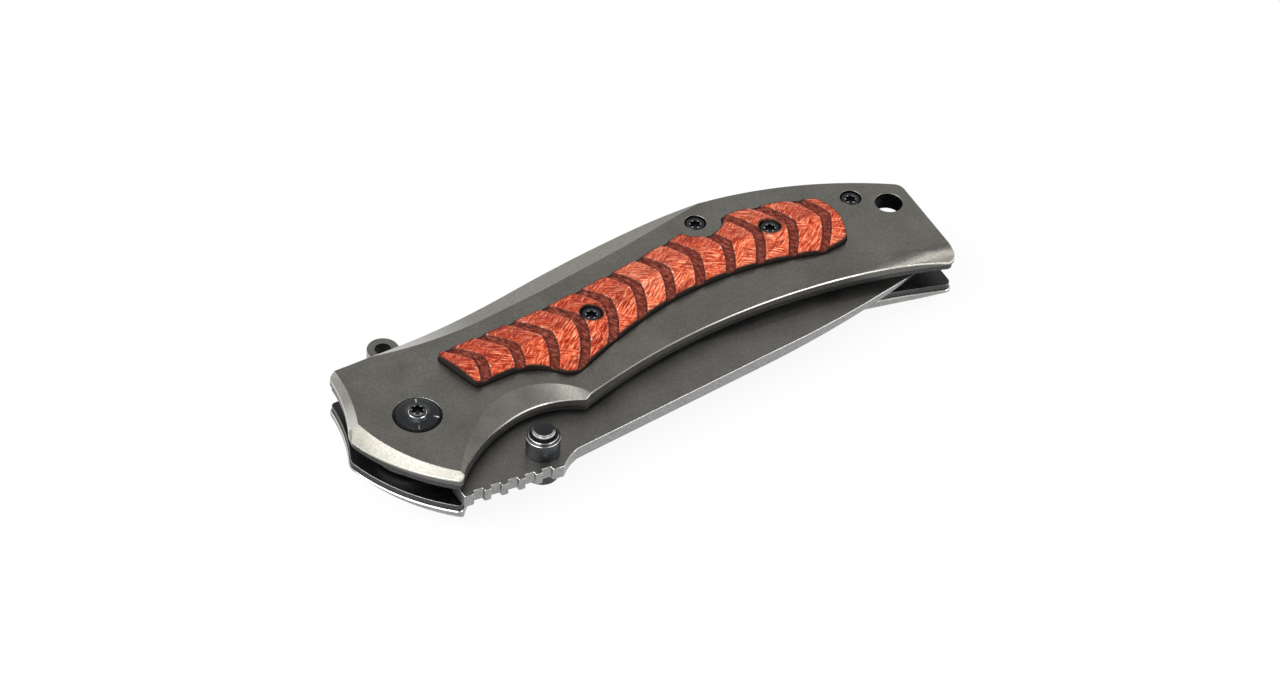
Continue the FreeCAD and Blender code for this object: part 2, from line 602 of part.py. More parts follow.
def pocket_clip():
    """Bent spring strip: base, ramp, arm, contact bump and a turned-out tip."""
    base = CLIP_BASE_LENGTH / 2
    arm = base + CLIP_RAMP_LENGTH
    bump = arm + CLIP_ARM_LENGTH + CLIP_BUMP_LENGTH
    tip = bump + CLIP_TIP_LENGTH
    contact = INLAY_RIDGE + CLIP_CONTACT_GAP
    lift = SCALE_FACE + CLIP_LIFT
    inner = [V(-base, 0, SCALE_FACE), V(base, 0, SCALE_FACE), V(arm, 0, lift),
             V(arm + CLIP_ARM_LENGTH, 0, lift), V(bump, 0, contact), V(tip, 0, lift - CLIP_TIP_DIP)]
    outer = [point + V(0, 0, CLIP_THICKNESS) for point in reversed(inner)]
    half = CLIP_WIDTH / 2
    strip = Part.Face(Part.makePolygon(inner + outer + inner[:1])).extrude(V(0, CLIP_WIDTH, 0))
    corners = [V(-base, -half, 0), V(tip, -half, 0), V(tip, half, 0), V(-base, half, 0)]
    outline = Part.makePolygon(corners + corners[:1])
    plan = prism(rounded(outline, [(corner, CLIP_CORNER_RADIUS) for corner in corners]), 0, CLIP_FACE)
    return mirrored(clip_frame(strip.translated(V(0, -half, 0)).common(plan)))


def clip_screws():
    """Screws that hold the clip to the rear scale."""
    return mirrored(screw_heads(clip_screw_places(), CLIP_SCREW_HEAD_DIAMETER, SCALE_FACE + CLIP_THICKNESS,
                                CLIP_SCREW_HEAD_HEIGHT))


def build_nodes():
    """All pieces by name, about the pivot."""
    scale = scale_blank()
    side_liner = liner()
    wood = inlay()
    wood_screws = inlay_screws()
    frame_screws = body_screws()
    ring = washer()
    return {
        "front_scale": front_scale(scale),
        "rear_scale": rear_scale(scale),
        "front_liner": side_liner,
        "rear_liner": rear_liner(side_liner),
        "lock_bar": lock_bar(side_liner),
        "detent_ball": detent_ball(),
        "front_inlay": wood,
        "rear_inlay": mirrored(wood),
        "front_inlay_screws": wood_screws,
        "rear_inlay_screws": mirrored(wood_screws),
        "front_body_screws": frame_screws,
        "rear_body_screws": mirrored(frame_screws),
        "standoffs": standoffs(),
        "stop_pin": stop_pin(),
        "pivot_barrel": pivot_barrel(),
        "pivot_collar": pivot_collar(),
        "pivot_screw": pivot_screw(),
        "rear_pivot_screw": rear_pivot_screw(),
        "front_washer": ring,
        "rear_washer": mirrored(ring),
        "blade": blade(),
        "front_thumb_stud": front_thumb_stud(),
        "rear_thumb_stud": rear_thumb_stud(),
        "pocket_clip": pocket_clip(),
        "clip_screws": clip_screws(),
    }


os.makedirs("parts", exist_ok=True)
for name, shape in build_nodes().items():
    shape.translated(-LANYARD).exportStep(f"parts/{name}.step")
    print(name, len(shape.Solids), shape.isValid(), round(shape.Volume, 3))
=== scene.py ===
"""Looks of a folding pocket knife, lying closed on its clip side.

Metres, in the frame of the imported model: +X along the handle to the butt, +Y to the spine, +Z up.
"""
import json
import math
from collections import namedtuple

import bmesh
import bpy
import numpy as np
from mathutils import Matrix, Vector
from mathutils.kdtree import KDTree


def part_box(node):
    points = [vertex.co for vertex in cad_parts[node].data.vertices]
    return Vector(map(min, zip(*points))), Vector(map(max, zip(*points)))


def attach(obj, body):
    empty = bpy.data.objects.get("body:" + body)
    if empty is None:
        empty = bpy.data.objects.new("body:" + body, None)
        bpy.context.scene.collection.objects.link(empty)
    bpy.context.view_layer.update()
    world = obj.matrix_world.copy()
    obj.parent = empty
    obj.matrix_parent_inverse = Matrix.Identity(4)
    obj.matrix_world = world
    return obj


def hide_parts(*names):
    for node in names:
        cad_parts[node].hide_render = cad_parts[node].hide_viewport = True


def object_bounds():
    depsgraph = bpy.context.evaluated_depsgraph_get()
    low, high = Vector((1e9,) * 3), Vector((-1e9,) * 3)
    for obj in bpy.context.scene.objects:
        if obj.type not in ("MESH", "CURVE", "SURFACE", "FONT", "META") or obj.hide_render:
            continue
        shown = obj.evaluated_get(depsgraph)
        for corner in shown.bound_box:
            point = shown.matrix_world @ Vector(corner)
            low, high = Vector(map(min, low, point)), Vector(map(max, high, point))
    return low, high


# Camera of the photograph: a view of 1280 by 700 pixels
PHOTO_WIDTH_PX = 1280
PHOTO_FOCAL_PX = 3369
SENSOR_WIDTH_MM = 36.0
CAMERA_AIM = Vector((-0.0636, -0.0116, 0.0057))
CAMERA_DISTANCE = 0.611
CAMERA_PITCH = math.radians(43.3)
CAMERA_ROLL = math.radians(-4.1)
CAMERA_HEADING = math.radians(35.0)

# Light: a pale horizon under a dimmer ceiling, a long box at the left, one overhead and two in front
HORIZON_LEVEL = 1.08
CEILING_LEVEL = 0.35
HORIZON_TOP = 0.30
CEILING_START = 0.70
LAMP_DISTANCE = 0.9
LAMPS = {
    "left_box": {"towards": (-0.74, 0.02, 0.67), "size": (1.20, 0.46), "level": 4.6},
    "top_box": {"towards": (-0.08, 0.11, 0.99), "size": (0.26, 0.26), "level": 3.7},
    "front_box": {"towards": (0.46, -0.735, 0.50), "size": (1.00, 0.14), "level": 3.2},
    "high_front_box": {"towards": (0.42, -0.32, 0.85), "size": (0.50, 0.26), "level": 3.4},
}
FLOOR_SIZE = 6.0
FLOOR_CELLS = 8
FLOOR_GLOW = 0.9
FLOOR_GAP = 0.00005
FLOOR_CLOUDS = {"size": 0.3, "detail": 2.0}
FLOOR_STOPS = ((0.0, (0.93, 0.93, 0.925)), (1.0, (0.95, 0.95, 0.945)))
FLOOR_ROUGHNESS = 0.9

# Metals: clouds and grains with their size, how deep the grains are, and the tones
METAL_CLOUDS = {"size": 0.007, "detail": 4.0, "rough": 0.6}
METAL_GRAINS = {"size": 0.00035, "detail": 2.0, "rough": 0.6}
METAL_BUMP = {"strength": 0.25, "distance": 0.00002}
CLOUD_RANGE = (0.3, 0.7)
GRAIN_RANGE = (0.40, 0.60)
GRAIN_SHARE = 0.7
ROUGHNESS_SPREAD = 0.05
OXIDE_CLOUDS = {"size": 0.0030, "detail": 3.0, "rough": 0.5}
OXIDE_GRAINS = {"size": 0.00016, "detail": 2.0, "rough": 0.5}
OXIDE_BUMP = {"strength": 0.1, "distance": 0.00001}
OXIDE_STOPS = ((0.3, (0.044, 0.048, 0.052)), (0.7, (0.056, 0.060, 0.065)))
OXIDE_METALLIC = 0.9
OXIDE_ROUGHNESS = (0.24, 0.32)
BRONZE_GRAINS = {"size": 0.0006, "detail": 3.0, "rough": 0.6}
BRONZE_STOPS = ((0.3, (0.50, 0.27, 0.10)), (0.7, (0.66, 0.40, 0.17)))
BRONZE_ROUGHNESS = (0.22, 0.36)
WORN_TONES = ((0.50, 0.485, 0.455), (0.66, 0.645, 0.615))

# Tones that the scale's metal changes to, and where along the handle: a painted highlight on the spine
# bevel by the flipper ring and painted shade on the middle of the belly edge
SPINE_HIGHLIGHT = (0.72, 0.71, 0.69)
BELLY_EDGE_SHADE = (0.20, 0.195, 0.18)
SPINE_HIGHLIGHT_FADE = (-0.101, -0.086)
SPINE_FACING = (0.15, 0.30)
BELLY_SHADE_START = (-0.082, -0.074)
BELLY_SHADE_END = (-0.052, -0.036)

# Grain of the wood: the size of each pattern along three axes and its turn about the upright one
STEEP_FIBRES = {"size": (0.0024, 0.00030, 0.0010), "detail": 4.0, "rough": 0.74, "turn": math.radians(36)}
SLACK_FIBRES = {"size": (0.0026, 0.00032, 0.0010), "detail": 4.0, "rough": 0.74, "turn": math.radians(-34)}
FIBRE_PATCHES = {"size": 0.0055, "detail": 2.0, "rough": 0.5}
FIBRE_BUMP = {"strength": 0.8, "distance": 0.00012}
FLECKS = {"size": (0.0013, 0.00026, 0.0006), "detail": 2.0, "rough": 0.6, "turn": math.radians(30)}
BLUSH = {"size": (0.0052, 0.0016, 0.0030), "detail": 3.0, "rough": 0.6, "turn": math.radians(12)}
PORES = {"size": (0.00035, 0.0011, 0.0005), "detail": 3.0, "rough": 0.6, "turn": math.radians(20)}
# Noise that places painted glints on the groove lips
GLINT_NOISE = {"size": 0.0007, "detail": 2.0, "rough": 0.5}

# How much of each colour the wood takes, and over which range of its pattern
PATCH_RANGE = (0.45, 0.55)
TONE_RANGE = (0.2, 0.85)
TONE_SHIFT = (-0.020, 0.040)
BLUSH_RANGE = (0.34, 0.50)
BLUSH_SHARE = 0.70
# Painted shade on the slopes above the ridge
SLOPE_RANGE = (-0.2, 0.8)
SLOPE_SHADE_SHARE = 0.42
PALE_RANGE = (0.60, 0.72)
DARK_RANGE = (0.30, 0.42)
FLECK_SHARE = 0.6
BURN_SHARE = 0.8
# Painted highlight and painted glints on the groove lips
LIP_RANGE = (0.46, 0.62)
LIP_SHARE = 0.55
GLINT_RANGE = (0.66, 0.70)
WOOD_ROUGHNESS = (0.40, 0.60)
WOOD_SPECULAR = 0.14

# Colours of the wood
FIBRE_STOPS = ((0.36, (0.10, 0.005, 0.002)), (0.44, (0.34, 0.024, 0.008)), (0.50, (0.63, 0.082, 0.027)),
               (0.555, (0.84, 0.19, 0.085)), (0.62, (1.0, 0.44, 0.27)))
CUT_STOPS = ((0.32, (0.045, 0.006, 0.003)), (0.50, (0.165, 0.027, 0.016)), (0.68, (0.36, 0.10, 0.066)))
BLUSH_RED = (0.20, 0.011, 0.005, 1)
# Painted shade on the upper slopes of the wood, above its ridge
SHADED_UPPER_RED = (0.24, 0.018, 0.008, 1)
PALE_FLECK = (1.0, 0.45, 0.26, 1)
DARK_FLECK = (0.10, 0.006, 0.003, 1)
BURNT_CORNER = (0.022, 0.004, 0.002, 1)
# Painted highlight and painted glints on the groove lips
LIP_HIGHLIGHT = (0.74, 0.29, 0.18, 1)
LIP_GLINT = (0.90, 0.80, 0.74, 1)
# Sides of the wood, partly their own dark finish and partly painted shade; also painted shade along the top
# edge
DARK_SIDE_AND_SHADE = (0.012, 0.010, 0.008, 1)

# Edges and shading of the dressed solids
WELD_DISTANCE = 1e-6
FLAT_ANGLE = math.radians(0.4)
CREASE_ANGLE = math.radians(3.2)
CORNER_ANGLE = math.radians(28.0)
FACING_SHARE = 0.35
FLAT_FACE_WEIGHT = 90
SCALE_BREAK = 0.00017
PLATE_BREAK = 0.00006
INNER_BREAK = 0.00005
BREAK_STEPS = 1
ROUND_PROFILE = 0.5
FACE, EDGE, WALL, SHADE = range(4)

# Notches under the thumb, inside a box given by two corners
THUMB_NOTCHES = (Vector((-0.1077, -0.0270, 0.0)), Vector((-0.0900, -0.0238, 0.0)))
THUMB_NOTCH_ROUND = 0.00034
THUMB_NOTCH_STEPS = 4

# Belly edge of the scales, which rolls over past a line towards the butt
ROLL_START = Vector((-0.0240, -0.01195, 0.0))
ROLL_END = Vector((0.0029, -0.0146, 0.0))
ROLL_ALONG = (ROLL_END - ROLL_START).normalized()
ROLL_OUTWARD = Vector((ROLL_ALONG.y, -ROLL_ALONG.x, 0))
ROLL_STEPS = (0.0, 0.0007, 0.0014, 0.0021, 0.0028)
ROLL_BEND = 120.0
ROLLED = {"front_scale": 1, "rear_scale": -1}

# Carved wood: its ridge, the even straight grooves of the solid, and the bent grooves that take their place
WOOD_VOXEL = 0.00017
RIDGE_X = (-0.10125, -0.07425, -0.06025, -0.04525, -0.02725, -0.00825)
RIDGE_Y = (-0.000756, -0.001728, 0.001260, 0.003456, 0.003312, 0.000036)
SOLID_GROOVE_FIRST = -0.09325
SOLID_GROOVE_LAST = -0.01550
GROOVE_COUNT = 12
GROOVE_WIDTH = 0.0019
SOLID_UPPER_LEAN = 0.62
SOLID_LOWER_LEAN = 0.18
GROOVE_SOFTNESS = 0.00014
GROOVE_DEPTH = 0.00055
BEND_FIRST = -0.0910
BEND_LAST = -0.0139
BEND_RISE = 0.0006
BEND_UPPER_LEANS = (0.75, 0.28)
BEND_LOWER_LEANS = (0.32, 0.65)
BEND_LOWER_GROWTH = 3
BEND_ARC_REACH = 0.006

# Lands between the grooves, the sides of the wood and the marks of the cutter, with the painted highlight
# along the groove lips and the painted shade along the wood's edge
LAND_CELL = 0.0003
LAND_BORDER = 2
LAND_MARGIN = 0.00030
LAND_SPREADS = 200
LAND_FACING = 0.9
SIDE_FACING = 0.25
FLANK_FACING = 0.6
CUT_FACING = 0.2
SCREW_REACH = 0.0023
RIM_DEPTH = 0.00075
RIM_REACH = 0.0004
STAIN_REACH = 0.00020
LIP_WIDTH = 0.00012
LIP_OFFSET = 0.00034
BURN_OFFSET = 0.00005
CROWN_RISE = 0.00012
CROWN_REACH = 0.0012
SLOPE_REACH = 0.0015
# Reach of the painted shade along the wood's top edge
EDGE_SHADE_REACH = 0.00032
LAND_TONES = (0.35, 0.20, 0.25, 0.35, 0.25, 0.55, 0.85, 0.70, 0.45, 0.65, 0.60, 0.45, 0.60)

# Turned hardware: a ring's finish is that of the band which leads up to it
Ring = namedtuple("Ring", "radius level finish lobes notched", defaults=(0, False))
# The black finish is painted shade, for sides, sockets, necks and rims where shade falls
OXIDE, BRIGHT, SHADED_BAND = range(3)
TURN_SEGMENTS = 96
TURN_CREASE = math.radians(24.0)
RIM_CHAMFER = 0.00022
SOCKET_LOBES = 6
SOCKET_LOBE_SHARE = 0.13
SOCKET_SHARE = 0.50
SOCKET_LIP_SHARE = 1.22
SOCKET_DRAFT_SHARE = 0.94
SOCKET_FLOOR_SHARE = 0.4
SOCKET_CONE_SHARE = 1.15
SOCKET_DEPTH = 0.0007
# Crests of a socket's lobes, where painted glints go
GLINT_CREST = -0.6

# Collar: inset from the rim, height over it, finish and whether the marks cut it; then the sweep to the hub
COLLAR_RIM_DROP = 0.0004
# The collar's black rim bands are painted shade
COLLAR_RIM = ((0.0, -0.00016, SHADED_BAND, False), (0.00042, 0.00003, SHADED_BAND, False),
              (0.00048, 0.00005, OXIDE, True), (0.0008, 0.00008, OXIDE, True),
              (0.0014, 0.00014, OXIDE, True))
COLLAR_SWEEP = ((0.0005, 0.00020), (0.00025, 0.00027))
NOTCH_ANGLES = (math.radians(63), math.radians(-41), math.radians(-117))
NOTCH_DEPTH = 0.00010

# Hub of the pivot screw: inset from the crown, height over the foot or the crest, and finish
HUB_INSET = 0.00042
HUB_LIFT = 0.00025
HUB_FOOT = ((-0.00020, 0.00008, OXIDE), (-0.00006, 0.00018, BRIGHT), (0.0, 0.00030, OXIDE))
HUB_CREST = ((0.00002, -0.00010, OXIDE), (0.00006, 0.0, BRIGHT))
HUB_SOCKET_SHARE = 0.72
HUB_LIP_SHARE = 1.14
HUB_SOCKET_CHAMFER = 0.00008

# Front stud: inset from the body or the cap, or the radius of the neck, height over the foot, and finish
STUD_BODY = ((0.00012, 0.0, OXIDE), (0.0, 0.00012, OXIDE), (0.0, 0.00358, OXIDE),
             (0.00008, 0.00366, BRIGHT))
# The black bands at the neck and under the cap are painted shade
STUD_NECK = ((0.00274, 0.00410, OXIDE), (0.00266, 0.00418, BRIGHT), (0.00242, 0.00424, OXIDE),
             (0.00220, 0.00426, SHADED_BAND))
STUD_CAP_RADIUS = 0.00214
STUD_CAP = ((0.0, 0.00434, SHADED_BAND), (0.0, 0.00484, OXIDE), (0.00018, 0.00512, BRIGHT),
            (0.00026, 0.00522, OXIDE))
STUD_CROWN_INSET = 0.00034
STUD_CROWN_DROP = 0.00006
STUD_FLAT_RADIUS = 0.0008

# Rear stud: inset from its rim, drop below its top, and finish
PLAIN_STUD_RIM = ((0.0, 0.0006, OXIDE), (0.00010, 0.0005, BRIGHT), (0.0006, 0.0, OXIDE))

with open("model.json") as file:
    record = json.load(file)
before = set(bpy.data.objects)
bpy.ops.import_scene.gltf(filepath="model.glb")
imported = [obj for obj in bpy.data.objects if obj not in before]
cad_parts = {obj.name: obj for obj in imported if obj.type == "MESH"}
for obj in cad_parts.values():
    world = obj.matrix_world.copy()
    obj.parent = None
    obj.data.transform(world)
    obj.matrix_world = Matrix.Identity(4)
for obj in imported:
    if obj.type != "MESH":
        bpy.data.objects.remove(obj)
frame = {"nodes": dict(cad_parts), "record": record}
CAD_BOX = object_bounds()
NODES = frame["nodes"]
BODY_OF = {node: body for body, nodes in frame["record"]["behaviour"]["bodies"].items() for node in nodes}
SLOT_OF = {part["node"]: part["material_slot"] for part in frame["record"]["subparts"]}


class Graph:
    """Short way to write a material's nodes."""

    def __init__(self, name):
        self.material = bpy.data.materials.new(name)
        self.material.use_nodes = True
        self.tree = self.material.node_tree
        self.shader = self.tree.nodes["Principled BSDF"]

    def add(self, kind, values=None, **settings):
        """Node of a kind with its settings, its sockets linked or given values."""
        node = self.tree.nodes.new(kind)
        for key, value in settings.items():
            setattr(node, key, value)
        for socket, value in (values or {}).items():
            self.put(node.inputs[socket], value)
        return node

    def put(self, socket, value):
        if isinstance(value, bpy.types.NodeSocket):
            self.tree.links.new(value, socket)
        else:
            socket.default_value = value

    def set(self, **values):
        """Give the shader's own sockets their values, with underscores for spaces in the names."""
        for name, value in values.items():
            self.put(self.shader.inputs[name.replace("_", " ")], value)

    def noise(self, size, detail=3.0, rough=0.5, turn=0.0):
        """Noise whose features have a size in metres along each axis, turned about the upright one."""
        coords = self.add("ShaderNodeTexCoord")
        size = size if isinstance(size, tuple) else (size, size, size)
        place = self.add("ShaderNodeMapping", {"Vector": coords.outputs["Object"], "Scale": size,
                                               "Rotation": (0, 0, turn)}, vector_type="TEXTURE")
        values = {"Vector": place.outputs[0], "Scale": 1.0, "Detail": detail, "Roughness": rough}
        return self.add("ShaderNodeTexNoise", values).outputs["Fac"]

    def ramp(self, factor, stops):
        """Colour that runs through stops of a position and a colour."""
        node = self.add("ShaderNodeValToRGB", {"Fac": factor})
        elements = node.color_ramp.elements
        while len(elements) < len(stops):
            elements.new(0.5)
        for element, (position, colour) in zip(elements, stops):
            element.position = position
            element.color = (*colour, 1.0)
        return node.outputs["Color"]

    def span(self, factor, low, high, start=0.0, end=1.0):
        """Number that goes from low to high while the factor goes from start to end."""
        values = {"Value": factor, "From Min": start, "From Max": end, "To Min": low, "To Max": high}
        return self.add("ShaderNodeMapRange", values).outputs["Result"]

    def join(self, operation, first, second):
        return self.add("ShaderNodeMath", {0: first, 1: second}, operation=operation).outputs[0]

    def times(self, first, second):
        return self.join("MULTIPLY", first, second)

    def plus(self, first, second):
        return self.join("ADD", first, second)

    def either(self, first, second):
        return self.join("MAXIMUM", first, second)

    def mix(self, factor, first, second):
        return self.add("ShaderNodeMix", {0: factor, 6: first, 7: second}, data_type="RGBA").outputs[2]

    def bump(self, height, strength, distance):
        values = {"Height": height, "Strength": strength, "Distance": distance}
        return self.add("ShaderNodeBump", values).outputs["Normal"]


def place_and_facing(graph):
    """Place and facing of the surface, each split into its three axes."""
    coords = graph.add("ShaderNodeTexCoord")
    return [graph.add("ShaderNodeSeparateXYZ", {"Vector": coords.outputs[name]})
            for name in ("Object", "Normal")]


def spine_highlight_share(graph):
    """Share of painted highlight on the spine bevel, rising towards the flipper ring."""
    place, facing = place_and_facing(graph)
    return graph.times(graph.span(place.outputs["X"], 1.0, 0.0, *SPINE_HIGHLIGHT_FADE),
                       graph.span(facing.outputs["Y"], 0.0, 1.0, *SPINE_FACING))


def belly_edge_shade_share(graph):
    """Share of painted shade on the belly edge, from the finger cut-out to the middle of the handle."""
    place, _ = place_and_facing(graph)
    return graph.times(graph.span(place.outputs["X"], 0.0, 1.0, *BELLY_SHADE_START),
                       graph.span(place.outputs["X"], 1.0, 0.0, *BELLY_SHADE_END))


def satin_metal(name, dark, light, roughness, share=None, other=None):
    """Blasted metal: cloudy tone, fine grain in the surface; a share of it may have another tone."""
    graph = Graph(name)
    clouds = graph.noise(**METAL_CLOUDS)
    grains = graph.noise(**METAL_GRAINS)
    tone = graph.mix(GRAIN_SHARE, graph.ramp(clouds, tuple(zip(CLOUD_RANGE, (dark, light)))),
                     graph.ramp(grains, tuple(zip(GRAIN_RANGE, (dark, light)))))
    if share:
        tone = graph.mix(share(graph), tone, (*other, 1.0))
    graph.set(Base_Color=tone, Metallic=1.0)
    graph.set(Roughness=graph.span(clouds, roughness - ROUGHNESS_SPREAD, roughness + ROUGHNESS_SPREAD,
                                   *CLOUD_RANGE))
    graph.set(Normal=graph.bump(grains, **METAL_BUMP))
    return graph.material


def black_metal():
    """Black oxide on turned steel."""
    graph = Graph("black_oxide")
    clouds = graph.noise(**OXIDE_CLOUDS)
    grains = graph.noise(**OXIDE_GRAINS)
    graph.set(Base_Color=graph.ramp(clouds, OXIDE_STOPS))
    graph.set(Metallic=OXIDE_METALLIC, Roughness=graph.span(grains, *OXIDE_ROUGHNESS, *CLOUD_RANGE))
    graph.set(Normal=graph.bump(grains, **OXIDE_BUMP))
    return graph.material


def bronze_metal():
    """Bronze of the washers, with a fine uneven tone."""
    graph = Graph("washer_bronze")
    grains = graph.noise(**BRONZE_GRAINS)
    graph.set(Base_Color=graph.ramp(grains, BRONZE_STOPS), Metallic=1.0)
    graph.set(Roughness=graph.span(grains, *BRONZE_ROUGHNESS))
    return graph.material


def carved_wood():
    """Orange-red hardwood in short fibres, darker in the cut grooves and black down its sides, partly their
    own dark finish and partly painted shade; painted shade on the upper slopes and along the edge, and a
    painted highlight with glints on the groove lips.
    """
    graph = Graph("inlay_wood")
    carve = graph.add("ShaderNodeAttribute", attribute_name="carve")
    parts = graph.add("ShaderNodeSeparateColor", {"Color": carve.outputs["Color"]})
    groove, lip, wall = (parts.outputs[index] for index in range(3))
    tone = carve.outputs["Alpha"]
    burn = graph.add("ShaderNodeAttribute", attribute_name="burn").outputs["Fac"]
    slope_shade = graph.add("ShaderNodeAttribute", attribute_name="slope_shade").outputs["Fac"]
    flecks = graph.noise(**FLECKS)
    glints = graph.noise(**GLINT_NOISE)
    fibres = graph.mix(graph.span(graph.noise(**FIBRE_PATCHES), 0.0, 1.0, *PATCH_RANGE),
                       graph.noise(**STEEP_FIBRES), graph.noise(**SLACK_FIBRES))
    land = graph.ramp(graph.plus(fibres, graph.span(tone, *TONE_SHIFT, *TONE_RANGE)), FIBRE_STOPS)
    land = graph.mix(graph.span(graph.noise(**BLUSH), BLUSH_SHARE, 0.0, *BLUSH_RANGE), land, BLUSH_RED)
    # painted shade on the slopes above the ridge
    land = graph.mix(graph.span(slope_shade, 0.0, SLOPE_SHADE_SHARE, *SLOPE_RANGE), land, SHADED_UPPER_RED)
    land = graph.mix(graph.span(flecks, 0.0, FLECK_SHARE, *PALE_RANGE), land, PALE_FLECK)
    land = graph.mix(graph.span(flecks, FLECK_SHARE, 0.0, *DARK_RANGE), land, DARK_FLECK)
    wood = graph.mix(groove, land, graph.ramp(graph.noise(**PORES), CUT_STOPS))
    wood = graph.mix(graph.span(burn, 0.0, BURN_SHARE), wood, BURNT_CORNER)
    # painted highlight along the groove lips, then white painted glints on them
    wood = graph.mix(graph.times(lip, graph.span(glints, 0.0, LIP_SHARE, *LIP_RANGE)), wood, LIP_HIGHLIGHT)
    wood = graph.mix(graph.times(lip, graph.span(glints, 0.0, 1.0, *GLINT_RANGE)), wood, LIP_GLINT)
    # black sides, partly their own dark finish and partly painted shade, and painted shade along the top
    # edge
    wood = graph.mix(wall, wood, DARK_SIDE_AND_SHADE)
    graph.set(Base_Color=wood, Specular_IOR_Level=WOOD_SPECULAR)
    graph.set(Roughness=graph.span(groove, *WOOD_ROUGHNESS), Normal=graph.bump(fibres, **FIBRE_BUMP))
    return graph.material


def floor_paper():
    """Pale floor that shows white to the camera and to shiny things, and keeps the shadow."""
    graph = Graph("floor_paper")
    graph.set(Base_Color=graph.ramp(graph.noise(**FLOOR_CLOUDS), FLOOR_STOPS), Roughness=FLOOR_ROUGHNESS)
    path = graph.add("ShaderNodeLightPath")
    seen = graph.either(path.outputs["Is Camera Ray"], path.outputs["Is Glossy Ray"])
    seen = graph.either(seen, path.outputs["Is Transmission Ray"])
    share = graph.times(seen, FLOOR_GLOW)
    glow = graph.add("ShaderNodeEmission", {"Color": (1, 1, 1, 1), "Strength": 1.0})
    blend = graph.add("ShaderNodeMixShader", {0: share, 1: graph.shader.outputs[0], 2: glow.outputs[0]})
    graph.tree.links.new(blend.outputs[0], graph.tree.nodes["Material Output"].inputs["Surface"])
    return graph.material


MATERIALS = {
    # the handle's metal takes a painted highlight on its spine bevel by the flipper ring
    "satin_grey": satin_metal("handle_satin", (0.216, 0.208, 0.184), (0.302, 0.291, 0.260), 0.34,
                              spine_highlight_share, SPINE_HIGHLIGHT),
    "blade_steel": satin_metal("blade_satin", (0.212, 0.205, 0.192), (0.290, 0.280, 0.262), 0.36),
    "liner_steel": satin_metal("liner_satin", (0.045, 0.045, 0.046), (0.085, 0.085, 0.086), 0.36),
    "bright_steel": satin_metal("ground_steel", (0.46, 0.46, 0.455), (0.60, 0.60, 0.595), 0.24),
    "black_hardware": black_metal(),
    "bronze": bronze_metal(),
    "inlay_wood": carved_wood(),
}
WORN_EDGE = satin_metal("worn_edge", *WORN_TONES, 0.26)
# Worn edge of the scales, with painted shade along the middle of the belly edge
SCALE_EDGE = satin_metal("scale_edge", *WORN_TONES, 0.26, belly_edge_shade_share, BELLY_EDGE_SHADE)
# Outer walls of the front scale, darker than its face as painted shade
SHADED_SCALE_WALL = satin_metal("shaded_scale_wall", (0.115, 0.111, 0.100), (0.165, 0.159, 0.144), 0.38)
# Upright walls lighter than the faces: a ground finish with painted light from the floor
GROUND_AND_LIT_WALL = satin_metal("ground_and_lit_wall", (0.22, 0.22, 0.218), (0.35, 0.35, 0.346), 0.36)
LINER_EDGE = satin_metal("liner_edge", (0.14, 0.14, 0.142), (0.24, 0.24, 0.242), 0.30)
# Near-black painted shade for the walls of bores and for shaded bands of the turned hardware
PAINTED_SHADE = satin_metal("painted_shade", (0.008, 0.008, 0.008), (0.020, 0.020, 0.020), 0.5)
BRIGHT_RIM = satin_metal("bright_rim", (0.42, 0.42, 0.42), (0.60, 0.60, 0.60), 0.18)


def new_piece(name, mesh, node, *more_materials):
    """Piece that stands for a node, rides on its body and takes its slot's material."""
    piece = bpy.data.objects.new(name, mesh)
    bpy.context.scene.collection.objects.link(piece)
    for material in (MATERIALS[SLOT_OF[node]], *more_materials):
        mesh.materials.append(material)
    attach(piece, BODY_OF[node])
    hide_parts(node)
    return piece


def welded(node):
    """The node's solid as a mesh whose faces share their corners."""
    shell = bmesh.new()
    shell.from_mesh(NODES[node].data)
    bmesh.ops.remove_doubles(shell, verts=shell.verts, dist=WELD_DISTANCE)
    return shell


def cleaned(node):
    """The node's solid as a mesh with whole flat faces."""
    shell = welded(node)
    bmesh.ops.dissolve_limit(shell, angle_limit=FLAT_ANGLE, verts=shell.verts, edges=shell.edges)
    return shell


def finished(shell, name):
    """Smooth-shaded mesh made from a shell, which is freed."""
    for face in shell.faces:
        face.smooth = True
    mesh = bpy.data.meshes.new(name)
    shell.to_mesh(mesh)
    shell.free()
    return mesh


def is_wall(face):
    return abs(face.normal.z) < FACING_SHARE


def outer_wall(shell):
    """Faces of the widest run of walls, which is the outside of the plate."""
    left = {face for face in shell.faces if is_wall(face)}
    widest = set()
    reach = 0.0
    while left:
        run = {left.pop()}
        todo = list(run)
        while todo:
            face = todo.pop()
            near = {other for edge in face.edges for other in edge.link_faces} & left
            left -= near
            run |= near
            todo.extend(near)
        places = [vert.co.x for face in run for vert in face.verts]
        width = max(places) - min(places)
        if width > reach:
            widest = run
            reach = width
    return widest


def corner_edges(shell):
    """Edges at a corner that isn't broken yet."""
    return [edge for edge in shell.edges if edge.calc_face_angle(0.0) > CORNER_ANGLE
            and all(face.material_index != EDGE for face in edge.link_faces)]


def break_edges(shell, edges, width, finish=EDGE):
    """Take the sharpness off edges with a narrow bevel of a finish."""
    bmesh.ops.bevel(shell, geom=edges, offset=width, offset_type="OFFSET", segments=BREAK_STEPS,
                    profile=ROUND_PROFILE, affect="EDGES", clamp_overlap=False, material=finish)


def in_thumb_notches(point):
    low, high = THUMB_NOTCHES
    return low.x < point.x < high.x and low.y < point.y < high.y


